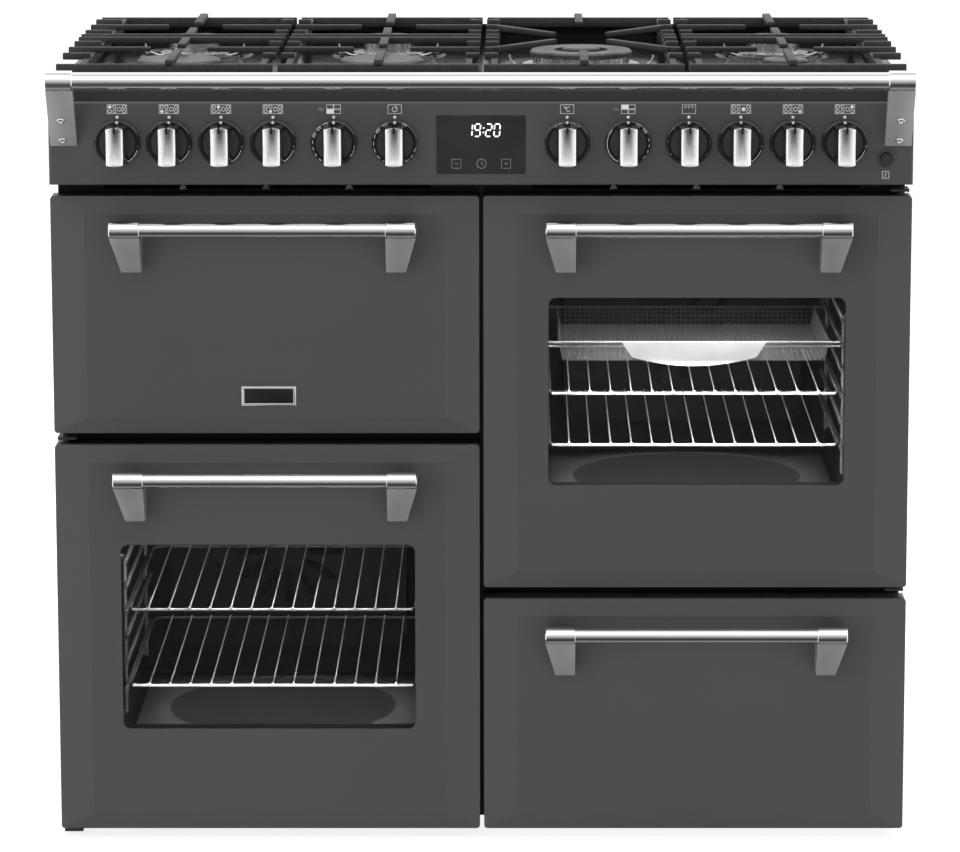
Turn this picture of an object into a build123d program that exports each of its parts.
from build123d import *
import os
from math import atan2, cos, degrees, hypot, pi, radians, sin, sqrt

os.makedirs("parts", exist_ok=True)

# Dual fuel range cooker in millimetres: X to the right, Y to the back, Z up.
# The origin is on the floor under the middle of the whole cooker.

# Overall sizes
range_width = 1000.0
body_depth = 610.0
body_inset = 5.0
hob_inset = 2.0
rear_setback = 10.0

# Rows of doors and the control fascia above them
door_bottom_z = 12.0
tall_door_height = 465.0
short_door_height = 280.0
row_gap = 14.0
centre_gap = 5.0
fascia_height = 97.0
fascia_proud = 8.0

# Door skin: a folded pan with a raised field
skin_sheet = 1.5
skin_fold = 10.0
field_raise = 6.0
side_bevel = 39.5
edge_bevel = 20.0
skin_corner_radius = 4.0
field_corner_radius = 2.0

# Door liner, window and glass
door_thickness = 36.0
door_standoff = 6.0
liner_inset = 1.0
liner_sheet = 1.5
liner_surround = 4.0
window_width = 346.0
window_height = 223.0
window_rise = 123.5
window_radius = 9.0
glass_sheet = 4.0
glass_lap = 10.0
liner_window_spread = 4.0
inner_glass_lap = 8.0

# Door handles
handle_length = 353.0
handle_bar_radius = 9.0
handle_ring_radius = 10.5
handle_ring_width = 35.0
handle_drop = 33.0
handle_reach = 47.0
post_drop = 52.0
post_foot_width = 23.0
post_foot_reach = 31.0
post_neck_drop = 9.0

# Side hinges of the tall doors
hinge_inset = 11.0
hinge_depth = 23.0
hinge_pin_radius = 4.0
hinge_pin_grip = 15.0
hinge_plate = 3.0
hinge_plate_width = 22.0
hinge_plate_lead = 9.0
hinge_flange_sheet = 2.0
hinge_flange_rise = 30.0
upper_hinge_lift = 3.0
lower_hinge_drop = 5.0
running_gap = 0.3
pin_end_gap = 1.0

# Drop-down pivots of the grill door
grill_pivot_rise = 8.0
grill_pivot_depth = 12.0
pivot_pin_radius = 3.0
pivot_pin_grip = 16.0
pivot_lug_radius = 6.0
pivot_lug_width = 5.0
pivot_lug_inset = 20.0
pivot_side_gap = 0.75
pivot_round_gap = 0.7
pivot_block_front = 4.0
pivot_block_rise = 20.0

# Carcass sheets
panel_sheet = 1.5
frame_sheet = 3.0
base_bottom_z = 16.0
base_sheet = 2.0
base_lip = 20.0
panel_return = 20.0
foot_radius = 20.0
foot_pad = 8.0
foot_stem_radius = 7.0
foot_x = 430.0
foot_front_y = 90.0
foot_rear_y = 70.0

# Oven and grill cavities
oven_width = 368.0
oven_height = 335.0
oven_rise = 75.0
oven_depth = 410.0
grill_height = 190.0
grill_rise = 34.0
grill_depth = 380.0
cavity_sheet = 1.5
cavity_radius = 10.0
cavity_flange = 10.0
floor_dish_radius = 145.0
floor_dish_depth = 3.0
floor_dish_setback = 237.5
mouth_margin = 3.0
seal_width = 10.0
seal_offset = 4.0
seal_gap = 0.6

# Side racks, shelves and the fry basket
rack_wire_radius = 2.5
rack_wall_gap = 6.0
rack_upright_gap = 2.0
rack_first_level = 82.0
rack_pitch = 31.0
rack_levels = 6
rack_front = 30.0
rack_length = 340.0
rack_upright_inset = 30.0
rack_foot_rise = 40.0
shelf_frame_radius = 3.0
shelf_wire_radius = 1.4
shelf_wires = 13
shelf_wire_sides = 6
left_shelf_levels = [0, 3]
right_shelf_levels = [0, 2]
basket_level = 4
shelf_front = 25.0
shelf_length = 345.0
shelf_seat_gap = 0.1
shelf_rack_overlap = 3.0
basket_depth = 24.0
basket_length = 260.0
basket_sheet = 1.5
basket_flange = 16.0
basket_bars = 14
basket_bar_gap = 16.0
basket_slot_share = 0.5
basket_handle_width = 172.0
basket_handle_height = 18.0
basket_handle_slope = 12.0
basket_handle_bulge = 11.0

# Fans, their covers and the heating elements
cover_width = 300.0
cover_height = 250.0
cover_depth = 32.0
cover_sheet = 1.2
cover_radius = 16.0
cover_slots = 12
cover_slot_length = 44.0
cover_slot_width = 10.0
cover_slot_reach = 48.0
fan_radius = 75.0
fan_hub_radius = 12.0
fan_blades = 10
fan_blade_length = 34.0
fan_blade_depth = 14.0
fan_blade_lean = 35.0
fan_sheet = 2.0
fan_wall_gap = 7.0
fan_shaft_radius = 3.0
fan_shaft_grip = 16.0
fan_wall_hole = 5.0
motor_radius = 35.0
motor_length = 46.0
ring_element_radius = 95.0
element_radius = 3.5
ring_terminal_width = 24.0
ring_terminal_height = 10.0
grill_element_drop = 24.0
grill_element_margin = 44.0
grill_element_front = 50.0
grill_element_rear = 60.0
grill_element_runs = 6
grill_bend_radius = 20.0

# Control fascia, display, knobs and the ignition button
fascia_sheet = 1.5
fascia_edge_radius = 3.0
knob_places = [-420.0, -360.0, -300.0, -240.0, -170.0, -99.5, 99.5, 170.0, 240.0, 300.0, 360.0, 420.0]
gas_knobs = [0, 1, 2, 3, 9, 10, 11]
knob_drop = 48.0
knob_skirt_radius = 26.5
knob_skirt_depth = 5.0
knob_skirt_chamfer = 1.2
knob_rim_width = 2.4
knob_dish_depth = 1.4
knob_bow_radius = 84.0
knob_lift = 1.0
knob_reach = 38.0
knob_grip_width = 20.0
knob_grip_height = 44.5
knob_grip_flare = 6.0
knob_grip_corner = 3.0
knob_notch_width = 5.0
knob_notch_depth = 3.0
knob_shaft_radius = 4.0
knob_hole_gap = 0.8
display_width = 103.0
display_height = 68.0
display_rise = 13.0
display_sheet = 4.0
display_proud = 0.6
timer_margin = 3.0
timer_depth = 22.0
button_x = 468.0
button_rise = 31.0
button_radius = 6.0
button_proud = 5.0
button_depth = 8.0
button_gap = 0.4
button_stem_radius = 2.0
button_travel = 3.0
bezel_radius = 10.0
bezel_proud = 2.0

# Taps, switches and the gas rail behind the fascia
tap_width = 26.0
tap_top_rise = 16.0
tap_front_gap = 12.0
socket_depth = 12.0
switch_size = 40.0
spark_switch_size = 18.0
gas_rail_radius = 6.0
gas_rail_drop = 29.0
gas_rail_setback = 8.0
inlet_x = 446.0
inlet_pipe_radius = 7.5
inlet_boss_radius = 15.0
inlet_boss_length = 24.0
inlet_bore_radius = 9.3
inlet_bore_depth = 15.0
inlet_rear_gap = 2.0
inlet_hole_gap = 2.0

# Handrail
rail_radius = 10.0
rail_ring_radius = 12.0
rail_projection = 53.0
rail_rise = 29.0
bracket_width = 31.0
bracket_inset = 3.0
bracket_foot_drop = 51.0
bracket_foot_proud = 4.0
bracket_wall = 6.0

# Hob tray and its pressed rings
hob_front_proud = 4.0
hob_rim_height = 15.0
hob_rim_width = 22.0
hob_sheet = 2.0
hob_well_drop = 9.0
hob_corner_radius = 12.0
hob_edge_radius = 4.0
hob_well_radius = 20.0
upstand_height = 14.0
upstand_sheet = 4.0
upstand_setback = 1.0
upstand_edge = 1.5
dish_offset = 28.0
dish_width = 10.0
dish_slope = 3.0
dish_height = 2.0

# Burners: place across, place along and cap diameter
support_gap = 6.0
mid_support_width = 240.0
outer_burner_offset = 123.0
burner_row_offset = 134.0
large_cap = 100.0
middle_cap = 71.0
small_cap = 53.0
wok_cap = 125.0
wok_cap_hole = 66.0
wok_inner_cap = 46.0
burner_flange_margin = 9.0
burner_flange = 3.0
burner_crown_inset = 3.0
port_pitch = 8.0
port_width = 2.2
port_height = 6.0
port_depth = 2.5
burner_height = 16.0
burner_cap_height = 7.0
cap_chamfer = 2.0
wok_ring_drop = 3.0
wok_crown_wall = 15.0
electrode_radius = 2.5
electrode_height = 12.0
electrode_offset = 4.0
electrode_angle = 35.0

# Cast pan supports
support_front = 41.0
support_depth = 562.0
support_top_rise = 37.0
support_frame_drop = 5.0
support_bar_width = 8.0
support_bar_height = 12.0
support_rail_drop = 10.0
finger_width = 10.0
finger_tip_gap = 36.0
wok_finger_tip = 172.0
wok_tip_x = 33.0
wok_tip_y = 39.5
comb_inner_offset = 17.0
comb_middle_offset = 67.0
comb_outer_offset = 201.0
outer_overhang = 25.0
inner_overhang = 8.0
support_foot_size = 10.0
support_edge = 5.0

# Storage drawer and its runners
drawer_box_width = 410.0
drawer_box_height = 220.0
drawer_box_rise = 18.0
drawer_box_length = 470.0
drawer_sheet = 1.5
drawer_opening_margin = 17.0
drawer_opening_rise = 12.0
drawer_opening_height = 260.0
runner_sheet = 2.0
runner_rise = 86.0
runner_ledge = 8.0
runner_length = 480.0
runner_rail_height = 6.0

# Ventilation and fixing holes
vent_length = 388.0
vent_height = 8.0
vent_parts = 4
vent_bridge = 5.0
dash_count = 7
dash_pitch = 62.0
dash_length = 26.0
dash_height = 5.0
louvre_count = 6
louvre_pitch = 22.0
louvre_length = 120.0
louvre_height = 8.0
louvre_rise = 560.0
fixing_hole_radius = 3.25
fixing_hole_x = 380.0
fixing_hole_z = 740.0

# Planes worked out from the sizes above
front_reach = rail_projection + rail_ring_radius
door_y = (front_reach - body_depth) / 2
field_y = door_y - field_raise
fold_y = door_y + skin_fold
liner_back_y = door_y + door_thickness
frame_y = liner_back_y + door_standoff
frame_back_y = frame_y + frame_sheet
rear_y = door_y + body_depth
back_panel_y = rear_y - rear_setback
back_inner_y = back_panel_y - panel_sheet
fascia_y = door_y - fascia_proud
cavity_back_y = frame_back_y + oven_depth

upper_row_z = door_bottom_z + tall_door_height + row_gap
doors_top_z = upper_row_z + short_door_height
right_row_z = door_bottom_z + short_door_height + row_gap
fascia_z = doors_top_z + row_gap
fascia_top_z = fascia_z + fascia_height
knob_z = fascia_top_z - knob_drop
hob_rim_z = fascia_top_z + hob_rim_height
hob_floor_z = hob_rim_z - hob_well_drop
hob_under_z = hob_floor_z - hob_sheet
rim_under_z = hob_rim_z - hob_sheet

half_width = range_width / 2
body_half = half_width - body_inset
side_inner = body_half - panel_sheet
hob_half = half_width - hob_inset
hob_front_y = door_y - hob_front_proud
door_width = (range_width - centre_gap) / 2
door_x = (half_width + centre_gap / 2) / 2

left_oven_z = door_bottom_z + oven_rise
right_oven_z = right_row_z + oven_rise
grill_z = upper_row_z + grill_rise

support_mid_y = door_y + support_front + support_depth / 2
support_top_z = hob_floor_z + support_top_rise


def block(x0, x1, y0, y1, z0, z1):
    """Box between two opposite corners."""
    centre = Pos((x0 + x1) / 2, (y0 + y1) / 2, (z0 + z1) / 2)
    return centre * Box(abs(x1 - x0), abs(y1 - y0), abs(z1 - z0))


def rod_x(radius, x0, x1, y, z):
    """Round bar along X."""
    return Pos((x0 + x1) / 2, y, z) * Rot(0, 90, 0) * Cylinder(radius, abs(x1 - x0))


def rod_y(radius, x, y0, y1, z):
    """Round bar along Y."""
    return Pos(x, (y0 + y1) / 2, z) * Rot(90, 0, 0) * Cylinder(radius, abs(y1 - y0))


def rod_z(radius, x, y, z0, z1):
    """Round bar along Z."""
    return Pos(x, y, (z0 + z1) / 2) * Cylinder(radius, abs(z1 - z0))


def front(x, y, z):
    """Drawing plane that faces the front, with its own up along Z."""
    return Plane(origin=(x, y, z), x_dir=(1, 0, 0), z_dir=(0, -1, 0))


def slab(outline, x, z, y_front, y_back):
    """Plate with an outline seen from the front, from y_front to y_back."""
    return extrude(front(x, y_back, z) * outline, amount=y_back - y_front)


def level(x, y, z):
    """Drawing plane that faces up."""
    return Plane(origin=(x, y, z), x_dir=(1, 0, 0), z_dir=(0, 0, 1))


def turned(points, x, y):
    """Turned piece about a vertical line, from radius and height points."""
    side = Plane(origin=(x, y, 0), x_dir=(1, 0, 0), z_dir=(0, -1, 0))
    outline = side * make_face(Polyline(*points, close=True))
    return revolve(outline, Axis((x, y, 0), (0, 0, 1)))


def profile_x(points, x0, x1):
    """Piece with an outline in depth and height, from x0 to x1."""
    side = Plane(origin=(x0, 0, 0), x_dir=(0, 1, 0), z_dir=(1, 0, 0))
    return extrude(side * make_face(Polyline(*points, close=True)), amount=x1 - x0)


def save(node, *shapes):
    """Write one sub-part with all its solids."""
    solids = [solid for shape in shapes for solid in shape.solids()]
    export_step(Compound(solids), f"parts/{node}.step")


def door_skin(x, z, width, height):
    """Folded door front with a raised field and mitred bevels."""
    field_width = width - 2 * side_bevel
    field_height = height - 2 * edge_bevel
    edge = RectangleRounded(width, height, skin_corner_radius)
    field = RectangleRounded(field_width, field_height, field_corner_radius)
    outer = loft([front(x, door_y, z) * edge, front(x, field_y, z) * field], ruled=True)
    outer += slab(edge, x, z, door_y, fold_y)
    inner_width = width - 2 * skin_sheet
    inner_height = height - 2 * skin_sheet
    inner_edge = RectangleRounded(inner_width, inner_height, skin_corner_radius - skin_sheet)
    inner_field = RectangleRounded(field_width - skin_sheet, field_height - skin_sheet, field_corner_radius)
    inner_start_y = door_y + skin_sheet
    inner = loft(
        [front(x, inner_start_y, z) * inner_edge, front(x, field_y + skin_sheet, z) * inner_field],
        ruled=True,
    )
    inner += slab(inner_edge, x, z, inner_start_y, fold_y)
    return outer - inner


def door_liner(x, z, width, height):
    """Inner door pan that closes the back of the skin."""
    inset = liner_inset + liner_sheet
    outline = Rectangle(width - 2 * liner_inset, height - 2 * liner_inset)
    pocket = Rectangle(width - 2 * inset, height - 2 * inset)
    pan = slab(outline, x, z, fold_y, liner_back_y)
    return pan - slab(pocket, x, z, fold_y, liner_back_y - liner_sheet)


def door_handle(x, top_z):
    """Bar between two ringed posts that taper towards their feet."""
    bar_z = top_z - handle_drop
    bar_y = door_y - handle_reach
    half = handle_length / 2
    handle = rod_x(handle_bar_radius, x - half, x + half, bar_y, bar_z)
    for side in (-1, 1):
        end_x = x + side * half
        inner_x = end_x - side * handle_ring_width
        handle += rod_x(handle_ring_radius, inner_x, end_x, bar_y, bar_z)
        neck_z = bar_z - post_neck_drop
        foot_z = bar_z - post_drop
        foot_x = inner_x + side * post_foot_width
        neck_y = bar_y - sqrt(handle_ring_radius ** 2 - post_neck_drop ** 2)
        neck = Polyline(
            (inner_x, neck_y), (end_x, neck_y), (end_x, field_y), (inner_x, field_y), close=True
        )
        foot_y = door_y - post_foot_reach
        foot = Polyline(
            (inner_x, foot_y), (foot_x, foot_y), (foot_x, field_y), (inner_x, field_y), close=True
        )
        low_face = level(0, 0, foot_z) * make_face(foot)
        high_face = level(0, 0, neck_z) * make_face(neck)
        handle += loft([low_face, high_face], ruled=True)
        handle += block(inner_x, end_x, bar_y, field_y, neck_z, bar_z)
    return handle


def save_tall_door(name, side, bottom_z):
    """Side-hung oven door: skin, liner, two panes and handle."""
    x = side * door_x
    z = bottom_z + tall_door_height / 2
    top_z = bottom_z + tall_door_height
    window_z = bottom_z + window_rise + window_height / 2
    window = RectangleRounded(window_width, window_height, window_radius)
    skin = door_skin(x, z, door_width, tall_door_height)
    skin -= slab(window, x, window_z, field_y - skin_sheet, door_y)

    opening_width = window_width + 2 * liner_window_spread
    opening_height = window_height + 2 * liner_window_spread
    opening = RectangleRounded(opening_width, opening_height, window_radius)
    pane_width = opening_width + 2 * inner_glass_lap
    pane_height = opening_height + 2 * inner_glass_lap
    pane = RectangleRounded(pane_width, pane_height, window_radius)
    surround_width = pane_width + 2 * liner_surround
    surround_height = pane_height + 2 * liner_surround
    surround = RectangleRounded(surround_width, surround_height, window_radius + liner_surround)
    liner = door_liner(x, z, door_width, tall_door_height)
    liner += slab(surround, x, window_z, fold_y, liner_back_y)
    liner -= slab(opening, x, window_z, fold_y, liner_back_y)
    liner -= slab(pane, x, window_z, liner_back_y - glass_sheet, liner_back_y)
    axis_x = side * (half_width - hinge_inset)
    axis_y = door_y + hinge_depth
    bore = hinge_pin_radius + running_gap
    depth = hinge_pin_grip + liner_inset + pin_end_gap
    boss_outer = side * (half_width - liner_inset)
    boss_inner = side * (half_width - 2 * hinge_inset)
    for end_z, inward in ((top_z, -1), (bottom_z, 1)):
        start_z = end_z + inward * liner_inset
        stop_z = end_z + inward * (depth + liner_sheet)
        liner += block(boss_outer, boss_inner, fold_y, liner_back_y, start_z, stop_z)
        liner -= rod_z(bore, axis_x, axis_y, end_z, end_z + inward * depth)

    outer_pane = RectangleRounded(window_width + 2 * glass_lap, window_height + 2 * glass_lap, window_radius)
    outer_glass_y = field_y + skin_sheet
    outer_glass = slab(outer_pane, x, window_z, outer_glass_y, outer_glass_y + glass_sheet)
    inner_glass = slab(pane, x, window_z, liner_back_y - glass_sheet, liner_back_y)

    save(f"{name}_panel", skin)
    save(f"{name}_liner", liner)
    save(f"{name}_glass", outer_glass, inner_glass)
    save(f"{name}_handle", door_handle(x, top_z))


def save_grill_door():
    """Drop-down grill door, hung on two low pivots."""
    x = -door_x
    z = upper_row_z + short_door_height / 2
    axis_y = door_y + grill_pivot_depth
    axis_z = upper_row_z + grill_pivot_rise
    skin = door_skin(x, z, door_width, short_door_height)
    liner = door_liner(x, z, door_width, short_door_height)
    notch_front_y = axis_y - pivot_lug_radius - pivot_round_gap
    notch_top_z = axis_z + pivot_lug_radius + pivot_round_gap
    for side in (-1, 1):
        lug_outer = x + side * (door_width / 2 - pivot_lug_inset)
        lug_inner = lug_outer - side * pivot_lug_width
        notch_outer = lug_outer + side * pivot_side_gap
        notch_inner = lug_inner - side * pivot_side_gap
        block_inner = notch_inner - side * (pivot_pin_grip + pin_end_gap + liner_surround)
        low_z = upper_row_z + skin_sheet
        block_front_y = door_y + pivot_block_front
        block_top_z = low_z + pivot_block_rise
        liner += block(block_inner, notch_inner, block_front_y, liner_back_y, low_z, block_top_z)
        bore_end = notch_inner - side * (pivot_pin_grip + pin_end_gap)
        liner -= rod_x(pivot_pin_radius + running_gap, notch_inner, bore_end, axis_y, axis_z)
        liner -= block(notch_outer, notch_inner, notch_front_y, liner_back_y, upper_row_z, notch_top_z)
        skin -= block(notch_outer, notch_inner, notch_front_y, fold_y, upper_row_z, low_z)
    save("grill_door_panel", skin)
    save("grill_door_liner", liner)
    save("grill_door_handle", door_handle(x, doors_top_z))


def save_drawer():
    """Storage drawer: front, steel box on side rails, and handle."""
    z = door_bottom_z + short_door_height / 2
    half_box = drawer_box_width / 2
    box_z = door_bottom_z + drawer_box_rise
    box_back_y = liner_back_y + drawer_box_length
    box = block(
        door_x - half_box, door_x + half_box, liner_back_y, box_back_y, box_z, box_z + drawer_box_height
    )
    inside_half = half_box - drawer_sheet
    box -= block(
        door_x - inside_half,
        door_x + inside_half,
        liner_back_y,
        box_back_y - drawer_sheet,
        box_z + drawer_sheet,
        box_z + drawer_box_height,
    )
    rail_z = base_bottom_z + base_sheet + runner_rise + running_gap
    for side in (-1, 1):
        wall_x = door_x + side * half_box
        rail_x = wall_x + side * (runner_ledge - running_gap)
        box += block(wall_x, rail_x, frame_back_y, box_back_y, rail_z, rail_z + runner_rail_height)
    box += door_liner(door_x, z, door_width, short_door_height)
    save("drawer_front", door_skin(door_x, z, door_width, short_door_height))
    save("drawer_box", box)
    save("drawer_handle", door_handle(door_x, door_bottom_z + short_door_height))


def save_drawer_runners():
    """Upright angles on the base tray that carry the drawer's side rails."""
    half_box = drawer_box_width / 2
    low_z = base_bottom_z + base_sheet
    top_z = low_z + runner_rise
    runners = []
    for side in (-1, 1):
        ledge_x = door_x + side * (half_box + running_gap)
        web_x = door_x + side * (half_box + runner_ledge)
        outer_x = web_x + side * runner_sheet
        start_y = frame_back_y + base_sheet
        end_y = start_y + runner_length
        web = block(web_x, outer_x, start_y, end_y, low_z, top_z)
        web += block(ledge_x, outer_x, start_y, end_y, top_z - runner_sheet, top_z)
        runners.append(web)
    save("drawer_runners", *runners)


def cavity_outline(width, height, grow=0.0):
    """Rounded opening of a cavity, enlarged all round."""
    return RectangleRounded(width + 2 * grow, height + 2 * grow, cavity_radius + grow)


def cavity_box(x, bottom_z, height, depth):
    """Open-fronted cavity with a flange behind the front frame."""
    z = bottom_z + height / 2
    back_y = frame_back_y + depth
    wall = cavity_outline(oven_width, height, cavity_sheet)
    flange = cavity_outline(oven_width, height, cavity_flange)
    shell = slab(wall, x, z, frame_back_y, back_y + cavity_sheet)
    shell += slab(flange, x, z, frame_back_y, frame_back_y + cavity_sheet)
    return shell - slab(cavity_outline(oven_width, height), x, z, frame_back_y, back_y)


def save_cavities():
    """Grill cavity and the two fan ovens with a dish pressed in each floor."""
    save("grill_cavity", cavity_box(-door_x, grill_z, grill_height, grill_depth))
    for name, x, z in (("left", -door_x, left_oven_z), ("right", door_x, right_oven_z)):
        oven = cavity_box(x, z, oven_height, oven_depth)
        fan_z = z + oven_height / 2
        oven -= rod_y(fan_wall_hole, x, cavity_back_y, cavity_back_y + cavity_sheet, fan_z)
        dish_y = frame_back_y + floor_dish_setback
        dish_z = z - floor_dish_depth
        oven += rod_z(floor_dish_radius + cavity_sheet, x, dish_y, dish_z - cavity_sheet, z)
        oven -= rod_z(floor_dish_radius, x, dish_y, dish_z, z)
        save(f"{name}_oven_cavity", oven)


def cavity_mouths():
    """Middle, bottom and height of each cavity opening."""
    return [
        (-door_x, grill_z, grill_height),
        (-door_x, left_oven_z, oven_height),
        (door_x, right_oven_z, oven_height),
    ]


def frame_strips():
    """Left, right, bottom and top of each strip of the face frame."""
    half_open = drawer_box_width / 2 + drawer_opening_margin
    half_mouth = oven_width / 2 + mouth_margin
    top_rail_z = right_oven_z + oven_height + mouth_margin
    drawer_z = door_bottom_z + drawer_opening_rise
    left_oven_mouth = (left_oven_z - mouth_margin, left_oven_z + oven_height + mouth_margin)
    grill_mouth = (grill_z - mouth_margin, top_rail_z)
    drawer_mouth = (drawer_z, drawer_z + drawer_opening_height)
    right_oven_mouth = (right_oven_z - mouth_margin, top_rail_z)
    strips = [
        (-body_half, body_half, top_rail_z, hob_under_z),
        (-body_half, -door_x - half_open, base_bottom_z, top_rail_z),
        (-door_x + half_open, door_x - half_open, base_bottom_z, top_rail_z),
        (door_x + half_open, body_half, base_bottom_z, top_rail_z),
    ]
    for x, mouths in ((-door_x, (left_oven_mouth, grill_mouth)), (door_x, (drawer_mouth, right_oven_mouth))):
        rail_z = base_bottom_z
        for low_z, high_z in mouths:
            strips.append((x - half_open, x + half_open, rail_z, low_z))
            if low_z != drawer_z:
                strips.append((x - half_open, x - half_mouth, low_z, high_z))
                strips.append((x + half_mouth, x + half_open, low_z, high_z))
            rail_z = high_z
    return strips


def save_front_frame():
    """Face frame of stiles, rails and cheeks with its vents."""
    holes = []
    part_length = vent_length / vent_parts - vent_bridge
    for side in (-1, 1):
        for index in range(vent_parts):
            offset = (index - (vent_parts - 1) / 2) * vent_length / vent_parts
            slot = SlotOverall(part_length, vent_height)
            holes.append(slab(slot, side * door_x + offset, doors_top_z + row_gap / 2, frame_y, frame_back_y))
        gap_z = upper_row_z if side < 0 else right_row_z
        for index in range(dash_count):
            offset = (index - (dash_count - 1) / 2) * dash_pitch
            dash = SlotOverall(dash_length, dash_height)
            holes.append(slab(dash, side * door_x + offset, gap_z - row_gap / 2, frame_y, frame_back_y))
    inlet_z = knob_z - gas_rail_drop
    holes.append(rod_y(inlet_pipe_radius + inlet_hole_gap, inlet_x, frame_y, frame_back_y, inlet_z))
    strips = []
    for x0, x1, low_z, high_z in frame_strips():
        strips.append(block(x0, x1, frame_y, frame_back_y, low_z, high_z) - holes)
    save("front_frame", *strips)


def save_carcass_sheets():
    """Base tray, side panels, rear panel and levelling feet."""
    base_top_z = base_bottom_z + base_lip
    base = block(-side_inner, side_inner, frame_back_y, back_inner_y, base_bottom_z, base_top_z)
    base -= block(
        -side_inner + base_sheet,
        side_inner - base_sheet,
        frame_back_y + base_sheet,
        back_inner_y - base_sheet,
        base_bottom_z + base_sheet,
        base_top_z,
    )
    half_open = drawer_box_width / 2 + drawer_opening_margin
    lip_z = door_bottom_z + drawer_opening_rise
    base -= block(
        door_x - half_open, door_x + half_open, frame_back_y, frame_back_y + base_sheet, lip_z, base_top_z
    )
    save("base_tray", base)

    sides = []
    for side in (-1, 1):
        outer_x = side * body_half
        inner_x = side * side_inner
        return_x = inner_x - side * panel_return
        sheet = block(outer_x, inner_x, frame_back_y, back_panel_y, base_bottom_z, rim_under_z)
        front_end = frame_back_y + panel_sheet
        sheet += block(inner_x, return_x, frame_back_y, front_end, base_top_z, hob_under_z)
        sheet += block(inner_x, return_x, back_inner_y - panel_sheet, back_inner_y, base_top_z, hob_under_z)
        sides.append(sheet)
    rear = block(-side_inner, side_inner, back_inner_y, back_panel_y, base_bottom_z, rim_under_z)
    inlet_z = knob_z - gas_rail_drop
    rear -= rod_y(inlet_boss_radius + inlet_hole_gap, inlet_x, back_inner_y, back_panel_y, inlet_z)
    for side in (-1, 1):
        rear -= rod_y(fixing_hole_radius, side * fixing_hole_x, back_inner_y, back_panel_y, fixing_hole_z)
        for index in range(louvre_count):
            slot = SlotOverall(louvre_length, louvre_height)
            slot_z = louvre_rise + index * louvre_pitch
            rear -= slab(slot, side * door_x, slot_z, back_inner_y, back_panel_y)
    save("body_panels", *sides, rear)

    feet = []
    for x in (-foot_x, foot_x):
        for y in (frame_back_y + foot_front_y, back_inner_y - foot_rear_y):
            foot = rod_z(foot_radius, x, y, 0, foot_pad)
            feet.append(foot + rod_z(foot_stem_radius, x, y, foot_pad, base_bottom_z))
    save("levelling_feet", *feet)


def save_hinge_brackets():
    """Pin plates of the tall doors and pivot lugs of the grill door."""
    brackets = []
    axis_y = door_y + hinge_depth
    for side, bottom_z in ((-1, door_bottom_z), (1, right_row_z)):
        axis_x = side * (half_width - hinge_inset)
        outer_x = axis_x + side * hinge_plate_lead
        inner_x = outer_x - side * hinge_plate_width
        plate_y = axis_y - hinge_plate_lead
        door_top_z = bottom_z + tall_door_height
        high_z = door_top_z + upper_hinge_lift
        high = block(outer_x, inner_x, plate_y, frame_y, high_z, high_z + hinge_plate)
        high += rod_z(hinge_pin_radius, axis_x, axis_y, door_top_z - liner_inset - hinge_pin_grip, high_z)
        low_z = bottom_z - lower_hinge_drop - hinge_plate
        low = block(outer_x, inner_x, plate_y, frame_y, low_z, low_z + hinge_plate)
        low += rod_z(
            hinge_pin_radius, axis_x, axis_y, low_z + hinge_plate, bottom_z + liner_inset + hinge_pin_grip
        )
        low += block(
            outer_x, inner_x, frame_y - hinge_flange_sheet, frame_y, low_z, low_z + hinge_flange_rise
        )
        brackets.append(high)
        brackets.append(low)
    pivot_y = door_y + grill_pivot_depth
    pivot_z = upper_row_z + grill_pivot_rise
    for side in (-1, 1):
        lug_outer = -door_x + side * (door_width / 2 - pivot_lug_inset)
        lug_inner = lug_outer - side * pivot_lug_width
        lug = rod_x(pivot_lug_radius, lug_outer, lug_inner, pivot_y, pivot_z)
        lug += block(
            lug_outer, lug_inner, pivot_y, frame_y, pivot_z - pivot_lug_radius, pivot_z + pivot_lug_radius
        )
        pin_end = lug_inner - side * (pivot_pin_grip + pivot_side_gap)
        lug += rod_x(pivot_pin_radius, lug_inner, pin_end, pivot_y, pivot_z)
        brackets.append(lug)
    save("hinge_brackets", *brackets)


def save_door_seals():
    """Gaskets round the three cavity mouths."""
    seals = []
    for x, bottom_z, height in cavity_mouths():
        outer = cavity_outline(oven_width, height, seal_offset + seal_width)
        inner = cavity_outline(oven_width, height, seal_offset)
        z = bottom_z + height / 2
        seal = slab(outer, x, z, liner_back_y + seal_gap, frame_y)
        seals.append(seal - slab(inner, x, z, liner_back_y, frame_y))
    save("door_seals", *seals)


def rack_x(x, side):
    """Middle line of the rack wires beside one cavity wall."""
    return x + side * (oven_width / 2 - rack_wall_gap - rack_wire_radius)


def rack_wire_z(bottom_z, index):
    """Height of the rack wire that carries the given level."""
    reach = shelf_frame_radius + rack_wire_radius
    seat_drop = sqrt(reach ** 2 - shelf_rack_overlap ** 2) + shelf_seat_gap
    return bottom_z + rack_first_level + index * rack_pitch - seat_drop


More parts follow.
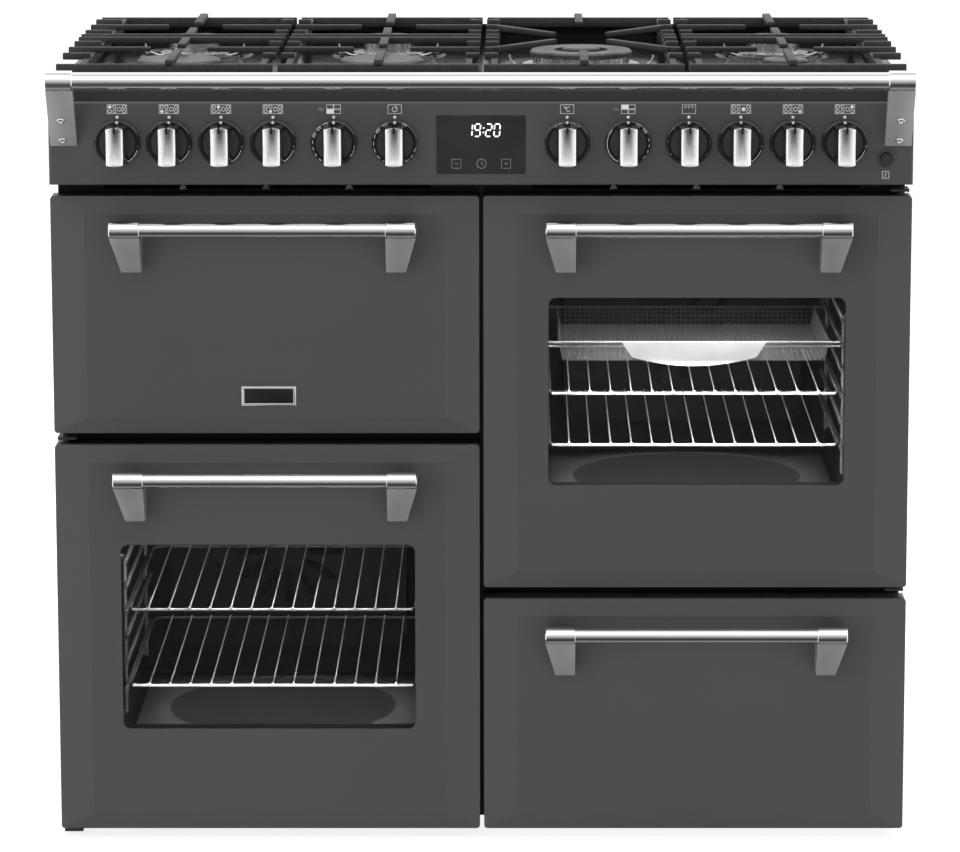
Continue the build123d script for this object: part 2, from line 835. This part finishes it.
def save_side_racks():
    """Ladder racks on the side walls of both ovens."""
    racks = []
    start_y = frame_back_y + rack_front
    end_y = start_y + rack_length
    for x, bottom_z in ((-door_x, left_oven_z), (door_x, right_oven_z)):
        top_z = rack_wire_z(bottom_z, rack_levels - 1)
        for side in (-1, 1):
            wire_x = rack_x(x, side)
            wall_x = x + side * oven_width / 2
            upright_x = wall_x - side * (rack_upright_gap + rack_wire_radius)
            rack = None
            for index in range(rack_levels):
                wire = rod_y(rack_wire_radius, wire_x, start_y, end_y, rack_wire_z(bottom_z, index))
                rack = wire if rack is None else rack + wire
            for upright_y in (start_y + rack_upright_inset, end_y - rack_upright_inset):
                low_z = bottom_z + rack_foot_rise
                rack += rod_z(rack_wire_radius, upright_x, upright_y, low_z, top_z)
                rack += rod_x(rack_wire_radius, upright_x, wall_x, upright_y, low_z + rack_wire_radius)
                rack += rod_x(rack_wire_radius, upright_x, wall_x, upright_y, top_z)
            racks.append(rack)
    save("side_racks", *racks)


def oven_shelf(x, bottom_z, index):
    """Wire shelf on the rack wires of one level."""
    z = bottom_z + rack_first_level + index * rack_pitch
    half = rack_x(x, 1) - x - shelf_rack_overlap
    front_y = frame_back_y + shelf_front
    back_y = front_y + shelf_length
    shelf = rod_x(shelf_frame_radius, x - half, x + half, front_y, z)
    shelf += rod_x(shelf_frame_radius, x - half, x + half, back_y, z)
    for side in (-1, 1):
        shelf += rod_y(shelf_frame_radius, x + side * half, front_y, back_y, z)
        for y in (front_y, back_y):
            shelf += Pos(x + side * half, y, z) * Sphere(shelf_frame_radius)
    pitch = 2 * half / (shelf_wires + 1)
    wire = RegularPolygon(shelf_wire_radius, shelf_wire_sides)
    for number in range(1, shelf_wires + 1):
        shelf += slab(wire, x - half + number * pitch, z, front_y, back_y)
    return shelf


def save_oven_contents():
    """Four wire shelves, the fry basket and its handle plate."""
    shelves = [oven_shelf(-door_x, left_oven_z, index) for index in left_shelf_levels]
    shelves += [oven_shelf(door_x, right_oven_z, index) for index in right_shelf_levels]
    save("oven_shelves", *shelves)

    rim_z = rack_wire_z(right_oven_z, basket_level) + rack_wire_radius + shelf_seat_gap
    half_rim = rack_x(door_x, 1) - door_x
    half_box = half_rim - basket_flange
    front_y = frame_back_y + rack_front
    back_y = front_y + basket_length
    top_z = rim_z + basket_sheet
    floor_z = top_z - basket_depth
    left_x = door_x - half_box
    right_x = door_x + half_box
    basket = block(left_x, right_x, front_y, back_y, floor_z, top_z)
    basket += block(door_x - half_rim, door_x + half_rim, front_y, back_y, rim_z, top_z)
    basket -= block(
        left_x + basket_sheet,
        right_x - basket_sheet,
        front_y + basket_sheet,
        back_y - basket_sheet,
        floor_z + basket_sheet,
        top_z,
    )
    pitch = 2 * half_box / basket_bars
    slot_length = basket_length - 2 * basket_bar_gap
    slot_y = (front_y + back_y) / 2
    slot = Rectangle(pitch * basket_slot_share, slot_length)
    for index in range(basket_bars):
        slot_x = left_x + (index + 0.5) * pitch
        basket -= extrude(level(slot_x, slot_y, floor_z) * slot, amount=basket_sheet)
    save("fry_basket", basket)

    half_top = basket_handle_width / 2
    half_low = half_top - basket_handle_slope
    low_z = top_z - basket_handle_height
    shape = Polyline((-half_low, low_z), (-half_top, top_z), (half_top, top_z), (half_low, low_z))
    shape += ThreePointArc((half_low, low_z), (0, low_z - basket_handle_bulge), (-half_low, low_z))
    save("basket_handle", slab(make_face(shape), door_x, 0, front_y - basket_sheet, front_y))


def save_fans():
    """Fan covers, impellers, motors and the three heating elements."""
    covers = []
    motors = []
    elements = []
    wall_back_y = cavity_back_y + cavity_sheet
    disc_back_y = cavity_back_y - fan_wall_gap
    disc_front_y = disc_back_y - fan_sheet
    blade_front_y = disc_front_y - fan_blade_depth
    for name, x, bottom_z in (("left", -door_x, left_oven_z), ("right", door_x, right_oven_z)):
        z = bottom_z + oven_height / 2
        cover_front_y = cavity_back_y - cover_depth
        outer = RectangleRounded(cover_width, cover_height, cover_radius)
        inner = RectangleRounded(
            cover_width - 2 * cover_sheet, cover_height - 2 * cover_sheet, cover_radius - cover_sheet
        )
        cover = slab(outer, x, z, cover_front_y, cavity_back_y)
        cover -= slab(inner, x, z, cover_front_y + cover_sheet, cavity_back_y)
        for index in range(cover_slots):
            turn = 360 * index / cover_slots
            place = Rot(0, 0, turn) * Pos(cover_slot_reach, 0)
            slot = place * SlotOverall(cover_slot_length, cover_slot_width)
            cover -= slab(slot, x, z, cover_front_y, cover_front_y + cover_sheet)
        covers.append(cover)

        fan = rod_y(fan_radius, x, disc_front_y, disc_back_y, z)
        fan += rod_y(fan_hub_radius, x, blade_front_y, disc_front_y, z)
        fan += rod_y(fan_shaft_radius, x, disc_back_y, wall_back_y + fan_shaft_grip, z)
        for index in range(fan_blades):
            turn = 360 * index / fan_blades
            place = Rot(0, 0, turn) * Pos(fan_radius - fan_blade_length / 2, 0)
            blade = place * Rot(0, 0, fan_blade_lean) * Rectangle(fan_blade_length, fan_sheet)
            fan += slab(blade, x, z, blade_front_y, disc_front_y) & rod_y(
                fan_radius, x, blade_front_y, disc_front_y, z
            )
        save(f"{name}_fan", fan)

        motor = rod_y(motor_radius, x, wall_back_y, wall_back_y + motor_length, z)
        bore_end = wall_back_y + fan_shaft_grip + pin_end_gap
        motor -= rod_y(fan_shaft_radius + running_gap, x, wall_back_y, bore_end, z)
        motors.append(motor)

        ring_y = (cover_front_y + cavity_back_y) / 2
        ring = Pos(x, ring_y, z) * Rot(90, 0, 0) * Torus(ring_element_radius, element_radius)
        ring_foot_z = z - ring_element_radius
        ring += block(
            x - ring_terminal_width / 2,
            x + ring_terminal_width / 2,
            ring_y,
            cavity_back_y,
            ring_foot_z - ring_terminal_height / 2,
            ring_foot_z + ring_terminal_height / 2,
        )
        elements.append(ring)
    save("fan_covers", *covers)
    save("fan_motors", *motors)

    back_y = frame_back_y + grill_depth
    element_z = grill_z + grill_height - grill_element_drop
    near_y = frame_back_y + grill_element_front
    far_y = back_y - grill_element_rear
    first_x = -door_x - oven_width / 2 + grill_element_margin
    pitch = (oven_width - 2 * grill_element_margin) / (grill_element_runs - 1)
    points = [(first_x, back_y, element_z)]
    for run in range(grill_element_runs):
        run_x = first_x + run * pitch
        ends = (near_y,) if run in (0, grill_element_runs - 1) else (far_y, near_y)
        ordered = ends[::-1] if run % 2 else ends
        for y in ordered:
            points.append((run_x, y, element_z))
    points.append((first_x + (grill_element_runs - 1) * pitch, back_y, element_z))
    route = FilletPolyline(*points, radius=grill_bend_radius)
    section = Plane(origin=route @ 0, z_dir=route % 0) * Circle(element_radius)
    elements.append(sweep(section, path=route))
    save("heating_elements", *elements)


def save_fascia():
    """Control fascia, display window, timer, switches, taps and gas rail."""
    shell = block(-half_width, half_width, fascia_y, frame_y, fascia_z, fascia_top_z)
    shell = fillet(shell.faces().sort_by(Axis.Y)[0].edges(), fascia_edge_radius)
    shell -= block(
        -half_width + fascia_sheet,
        half_width - fascia_sheet,
        fascia_y + fascia_sheet,
        frame_y,
        fascia_z + fascia_sheet,
        fascia_top_z - fascia_sheet,
    )
    sheet_back_y = fascia_y + fascia_sheet
    button_z = fascia_z + button_rise
    shell += rod_y(bezel_radius, button_x, fascia_y - bezel_proud, fascia_y, button_z)
    shell -= rod_y(button_radius + button_gap, button_x, fascia_y - bezel_proud, sheet_back_y, button_z)
    for x in knob_places:
        shell -= rod_y(knob_shaft_radius + knob_hole_gap, x, fascia_y, sheet_back_y, knob_z)
    display_z = fascia_z + display_rise + display_height / 2
    pane = Rectangle(display_width, display_height)
    shell -= slab(pane, 0, display_z, fascia_y, sheet_back_y)
    save("control_fascia", shell)

    pane_front_y = fascia_y - display_proud
    pane_back_y = pane_front_y + display_sheet
    save("display_window", slab(pane, 0, display_z, pane_front_y, pane_back_y))

    timer = Rectangle(display_width - 2 * timer_margin, display_height - 2 * timer_margin)
    modules = [slab(timer, 0, display_z, pane_back_y, pane_back_y + timer_depth)]
    taps = []
    body_front_y = door_y + tap_front_gap
    socket = knob_shaft_radius + running_gap
    rail_z = knob_z - gas_rail_drop
    for number, x in enumerate(knob_places):
        hole = rod_y(socket, x, body_front_y, body_front_y + socket_depth, knob_z)
        if number in gas_knobs:
            half = tap_width / 2
            low_z = rail_z - gas_rail_radius
            taps.append(block(x - half, x + half, body_front_y, frame_y, low_z, knob_z + tap_top_rise) - hole)
        else:
            modules.append(slab(Rectangle(switch_size, switch_size), x, knob_z, body_front_y, frame_y) - hole)
    spark = slab(Rectangle(spark_switch_size, spark_switch_size), button_x, button_z, body_front_y, frame_y)
    stem_bore = button_stem_radius + running_gap
    spark -= rod_y(stem_bore, button_x, body_front_y, body_front_y + socket_depth, button_z)
    modules.append(spark)
    save("control_modules", *modules)

    rail_y = frame_y - gas_rail_setback
    gas = rod_x(gas_rail_radius, knob_places[0] - tap_width / 2, inlet_x, rail_y, rail_z)
    for tap in taps:
        gas += tap
    boss_end_y = rear_y - inlet_rear_gap
    bore_start_y = boss_end_y - inlet_bore_depth
    gas += rod_y(inlet_pipe_radius, inlet_x, rail_y - inlet_pipe_radius, bore_start_y, rail_z)
    gas += rod_y(inlet_boss_radius, inlet_x, boss_end_y - inlet_boss_length, boss_end_y, rail_z)
    gas -= rod_y(inlet_bore_radius, inlet_x, bore_start_y, boss_end_y, rail_z)
    save("gas_rail", gas)

    stem_end_y = body_front_y + socket_depth - button_travel - pin_end_gap
    head_front_y = fascia_y - button_proud
    button = rod_y(button_radius, button_x, head_front_y, head_front_y + button_depth, button_z)
    button += rod_y(button_stem_radius, button_x, head_front_y + button_depth, stem_end_y, button_z)
    save("ignition_button", button)


def save_knobs():
    """Twelve control knobs: dished skirt, bowed grip and spindle."""
    skirt_back_y = fascia_y - knob_lift
    skirt_front_y = skirt_back_y - knob_skirt_depth
    dish_floor_y = skirt_front_y + knob_dish_depth
    tip_y = fascia_y - knob_reach
    bow_y = tip_y + knob_bow_radius
    shaft_end_y = door_y + tap_front_gap + socket_depth - pin_end_gap
    for number, x in enumerate(knob_places):
        skirt = rod_y(knob_skirt_radius, x, skirt_front_y, skirt_back_y, knob_z)
        skirt = chamfer(skirt.faces().sort_by(Axis.Y)[0].edges(), knob_skirt_chamfer)
        dish_radius = knob_skirt_radius - knob_skirt_chamfer - knob_rim_width
        dish = rod_y(dish_radius, x, skirt_front_y, dish_floor_y, knob_z)
        skirt -= chamfer(dish.faces().sort_by(Axis.Y)[-1].edges(), knob_skirt_chamfer)
        base = RectangleRounded(
            knob_grip_width + knob_grip_flare, knob_grip_height, knob_grip_corner
        )
        crest = RectangleRounded(knob_grip_width, knob_grip_height, knob_grip_corner)
        grip = loft([front(x, dish_floor_y, knob_z) * base, front(x, tip_y, knob_z) * crest], ruled=True)
        grip &= rod_x(knob_bow_radius, x - knob_skirt_radius, x + knob_skirt_radius, bow_y, knob_z)
        notch_z = knob_z + knob_grip_height / 2
        half_notch = knob_notch_width / 2
        grip -= block(
            x - half_notch, x + half_notch, tip_y, skirt_front_y, notch_z - knob_notch_depth, notch_z
        )
        spindle = rod_y(knob_shaft_radius, x, skirt_back_y, shaft_end_y, knob_z)
        save(f"knob_{number + 1:02d}", skirt + grip + spindle)


def save_handrail():
    """Towel rail held by two sloping brackets on the fascia."""
    rail_y = door_y - rail_projection
    rail_z = fascia_top_z + rail_rise
    end_x = half_width - bracket_inset
    inner_x = end_x - bracket_width
    socket_x = end_x - bracket_wall
    save("handrail", rod_x(rail_radius, -socket_x, socket_x, rail_y, rail_z))
    foot_z = fascia_top_z - bracket_foot_drop
    brackets = []
    for side in (-1, 1):
        x0 = side * inner_x
        x1 = side * end_x
        ring = rod_x(rail_ring_radius, x0, x1, rail_y, rail_z)
        points = [
            (fascia_y, foot_z),
            (fascia_y - bracket_foot_proud, foot_z),
            (rail_y - rail_ring_radius, rail_z),
            (rail_y, rail_z),
            (fascia_y, fascia_top_z - bracket_wall),
        ]
        bracket = ring + profile_x(points, min(x0, x1), max(x0, x1))
        brackets.append(bracket - rod_x(rail_radius, x0, side * socket_x, rail_y, rail_z))
    save("handrail_brackets", *brackets)


def burner_list():
    """Middle and cap diameter of each burner with a single cap."""
    outer_x = mid_support_width + outer_burner_offset
    middle_x = mid_support_width / 2
    front_y = support_mid_y - burner_row_offset
    back_y = support_mid_y + burner_row_offset
    return [
        (-outer_x, front_y, large_cap),
        (-outer_x, back_y, middle_cap),
        (-middle_x, front_y, large_cap),
        (-middle_x, back_y, middle_cap),
        (outer_x, front_y, small_cap),
        (outer_x, back_y, middle_cap),
    ]


def burner_crown(radius, x, y, low_z, high_z):
    """Burner crown with a ring of flame ports cut in its upper edge."""
    crown = rod_z(radius, x, y, low_z, high_z)
    count = int(2 * pi * radius / port_pitch)
    port = Box(2 * port_depth, port_width, port_height)
    ports = []
    for index in range(count):
        turn = Rot(0, 0, 360 * index / count)
        ports.append(Pos(x, y, high_z - port_height / 2) * turn * Pos(radius, 0, 0) * port)
    return crown - ports


def save_hob():
    """Hob tray with pressed rings, burners, caps and electrodes."""
    tray = block(-hob_half, hob_half, hob_front_y, rear_y, fascia_top_z, hob_rim_z)
    tray = fillet(tray.edges().filter_by(Axis.Z), hob_corner_radius)
    tray = fillet(tray.faces().sort_by(Axis.Z)[-1].edges(), hob_edge_radius)
    mid_y = (hob_front_y + rear_y) / 2
    length = rear_y - hob_front_y
    well_width = 2 * (hob_half - hob_rim_width)
    well_length = length - 2 * hob_rim_width
    well = RectangleRounded(well_width, well_length, hob_well_radius)
    tray -= extrude(level(0, mid_y, hob_floor_z) * well, amount=hob_well_drop)
    inside = RectangleRounded(
        2 * (hob_half - hob_sheet), length - 2 * hob_sheet, hob_corner_radius - hob_sheet
    )
    tray -= extrude(level(0, mid_y, fascia_top_z) * inside, amount=hob_under_z - fascia_top_z)
    step = RectangleRounded(
        well_width + 2 * hob_sheet, well_length + 2 * hob_sheet, hob_well_radius + hob_sheet
    )
    hollow = extrude(level(0, mid_y, hob_under_z) * inside, amount=rim_under_z - hob_under_z)
    hollow -= extrude(level(0, mid_y, hob_under_z) * step, amount=rim_under_z - hob_under_z)
    tray -= hollow

    half_upstand = hob_half - hob_corner_radius
    upstand_y = rear_y - upstand_setback
    upstand = block(
        -half_upstand,
        half_upstand,
        upstand_y - upstand_sheet,
        upstand_y,
        rim_under_z,
        hob_rim_z + upstand_height,
    )
    tray += fillet(upstand.faces().sort_by(Axis.Z)[-1].edges().filter_by(Axis.X), upstand_edge)

    wok_x = mid_support_width / 2
    dishes = burner_list() + [(wok_x, support_mid_y, wok_cap)]
    for x, y, cap in dishes:
        inner = cap / 2 + dish_offset
        outer = inner + dish_width
        top_z = hob_floor_z + dish_height
        points = [
            (inner, hob_floor_z),
            (inner + dish_slope, top_z),
            (outer - dish_slope, top_z),
            (outer, hob_floor_z),
        ]
        tray += turned(points, x, y)
    save("hob_tray", tray)

    heads = []
    caps = []
    electrodes = []
    flange_z = hob_floor_z + burner_flange
    crown_z = hob_floor_z + burner_height
    cap_z = crown_z + burner_cap_height
    for x, y, cap in burner_list():
        radius = cap / 2
        crown = radius - burner_crown_inset
        flange = radius + burner_flange_margin
        head = rod_z(flange, x, y, hob_floor_z, flange_z)
        heads.append(head + burner_crown(crown, x, y, flange_z, crown_z))
        disc = rod_z(radius, x, y, crown_z, cap_z)
        caps.append(chamfer(disc.faces().sort_by(Axis.Z)[-1].edges(), cap_chamfer))

    ring_z = crown_z - wok_ring_drop
    outer_crown = wok_cap / 2 - burner_crown_inset
    inner_crown = wok_inner_cap / 2 - burner_crown_inset
    wok = rod_z(wok_cap / 2 + burner_flange_margin, wok_x, support_mid_y, hob_floor_z, flange_z)
    wok += burner_crown(outer_crown, wok_x, support_mid_y, flange_z, ring_z)
    wok -= rod_z(outer_crown - wok_crown_wall, wok_x, support_mid_y, flange_z, ring_z)
    wok += burner_crown(inner_crown, wok_x, support_mid_y, flange_z, crown_z)
    heads.append(wok)
    save("burner_heads", *heads)

    ring_top_z = ring_z + burner_cap_height
    ring = rod_z(wok_cap / 2, wok_x, support_mid_y, ring_z, ring_top_z)
    ring = chamfer(ring.faces().sort_by(Axis.Z)[-1].edges(), cap_chamfer)
    caps.append(ring - rod_z(wok_cap_hole / 2, wok_x, support_mid_y, ring_z, ring_top_z))
    button = rod_z(wok_inner_cap / 2, wok_x, support_mid_y, crown_z, cap_z)
    caps.append(chamfer(button.faces().sort_by(Axis.Z)[-1].edges(), cap_chamfer))
    save("burner_caps", *caps)

    for x, y, cap in dishes:
        reach = cap / 2 + electrode_offset
        for side in (-1, 1):
            turn = radians(90 + side * electrode_angle)
            place_x = x + reach * cos(turn)
            place_y = y + reach * sin(turn)
            tip_z = flange_z + electrode_height
            electrodes.append(rod_z(electrode_radius, place_x, place_y, flange_z, tip_z))
    save("burner_electrodes", *electrodes)


def bar_x(x0, x1, y, top_z):
    """Support bar across the hob."""
    half = support_bar_width / 2
    return block(x0, x1, y - half, y + half, top_z - support_bar_height, top_z)


def bar_y(x, y0, y1, top_z, width):
    """Support bar along the hob."""
    return block(x - width / 2, x + width / 2, y0, y1, top_z - support_bar_height, top_z)


def support_frame(x0, x1, overhang0, overhang1):
    """End bars, side rails and feet that every pan support shares."""
    frame_top_z = support_top_z - support_frame_drop
    rail_top_z = support_top_z - support_rail_drop
    end_offset = (support_depth - support_bar_width) / 2
    rails = (
        x0 + overhang0 + support_bar_width / 2,
        x1 - overhang1 - support_bar_width / 2,
    )
    frame = bar_x(x0, x1, support_mid_y - end_offset, frame_top_z)
    frame += bar_x(x0, x1, support_mid_y + end_offset, frame_top_z)
    near_y = support_mid_y - end_offset
    far_y = support_mid_y + end_offset
    for rail in rails:
        frame += bar_y(rail, near_y, far_y, rail_top_z, support_bar_width)
        for side in (-1, 1):
            foot_y = support_mid_y + side * comb_outer_offset
            foot = Rectangle(support_foot_size, support_foot_size)
            frame += extrude(level(rail, foot_y, hob_floor_z) * foot, amount=rail_top_z - hob_floor_z)
    return frame, rails


def end_fingers(x, tip_offset):
    """Fingers that reach in from the front and back bars."""
    half_depth = support_depth / 2
    near = bar_y(x, support_mid_y - half_depth, support_mid_y - tip_offset, support_top_z, finger_width)
    far = bar_y(x, support_mid_y + tip_offset, support_mid_y + half_depth, support_top_z, finger_width)
    return near + far


def pan_support(x0, x1, burner_x, overhang0, overhang1):
    """Cast support over a front and a back burner."""
    support, rails = support_frame(x0, x1, overhang0, overhang1)
    half_bar = support_bar_width / 2
    for side in (-1, 1):
        burner_y = support_mid_y + side * burner_row_offset
        support += bar_x(x0, x1, support_mid_y + side * comb_inner_offset, support_top_z)
        for offset in (comb_middle_offset, comb_outer_offset):
            comb_y = support_mid_y + side * offset
            support += bar_x(x0, rails[0] + half_bar, comb_y, support_top_z)
            support += bar_x(rails[1] - half_bar, x1, comb_y, support_top_z)
        support += bar_x(x0, burner_x - finger_tip_gap, burner_y, support_top_z)
        support += bar_x(burner_x + finger_tip_gap, x1, burner_y, support_top_z)
        inner_y = support_mid_y + side * comb_inner_offset
        tip_y = burner_y - side * finger_tip_gap
        support += bar_y(burner_x, min(inner_y, tip_y), max(inner_y, tip_y), support_top_z, finger_width)
    return support + end_fingers(burner_x, burner_row_offset + finger_tip_gap)


def wok_support(x0, x1, burner_x):
    """Cast support with four slanting fingers over the wok burner."""
    support, rails = support_frame(x0, x1, inner_overhang, inner_overhang)
    half_bar = support_bar_width / 2
    offsets = [comb_inner_offset, comb_middle_offset, comb_outer_offset]
    for side in (-1, 1):
        for offset in offsets:
            comb_y = support_mid_y + side * offset
            support += bar_x(x0, rails[0] + half_bar, comb_y, support_top_z)
            support += bar_x(rails[1] - half_bar, x1, comb_y, support_top_z)
        for across, rail, end_x in ((-1, rails[0], x0), (1, rails[1], x1)):
            root_y = support_mid_y + side * burner_row_offset
            tip_x = burner_x + across * wok_tip_x
            tip_y = support_mid_y + side * wok_tip_y
            support += bar_x(min(rail, end_x), max(rail, end_x), root_y, support_top_z)
            length = hypot(tip_x - rail, tip_y - root_y)
            slant = degrees(atan2(tip_y - root_y, tip_x - rail))
            middle = Pos((rail + tip_x) / 2, (root_y + tip_y) / 2, support_top_z - support_bar_height / 2)
            support += middle * Rot(0, 0, slant) * Box(length, support_bar_width, support_bar_height)
    return support + end_fingers(burner_x, wok_finger_tip)


def save_pan_supports():
    """Four cast pan supports, set side by side over the hob."""
    edge = half_width - support_edge
    half_gap = support_gap / 2
    outer_x = mid_support_width + outer_burner_offset
    middle_x = mid_support_width / 2
    left_end = -mid_support_width - half_gap
    save("pan_support_left", pan_support(-edge, left_end, -outer_x, outer_overhang, inner_overhang))
    mid_start = -mid_support_width + half_gap
    save("pan_support_mid_left", pan_support(mid_start, -half_gap, -middle_x, inner_overhang, inner_overhang))
    wok_end = mid_support_width - half_gap
    save("pan_support_wok", wok_support(half_gap, wok_end, middle_x))
    right_start = mid_support_width + half_gap
    save("pan_support_right", pan_support(right_start, edge, outer_x, inner_overhang, outer_overhang))


save_carcass_sheets()
save_front_frame()
save_cavities()
save_door_seals()
save_hinge_brackets()
save_side_racks()
save_oven_contents()
save_fans()
save_fascia()
save_knobs()
save_handrail()
save_hob()
save_pan_supports()
save_drawer_runners()
save_drawer()
save_grill_door()
save_tall_door("left_door", -1, door_bottom_z)
save_tall_door("right_door", 1, right_row_z)
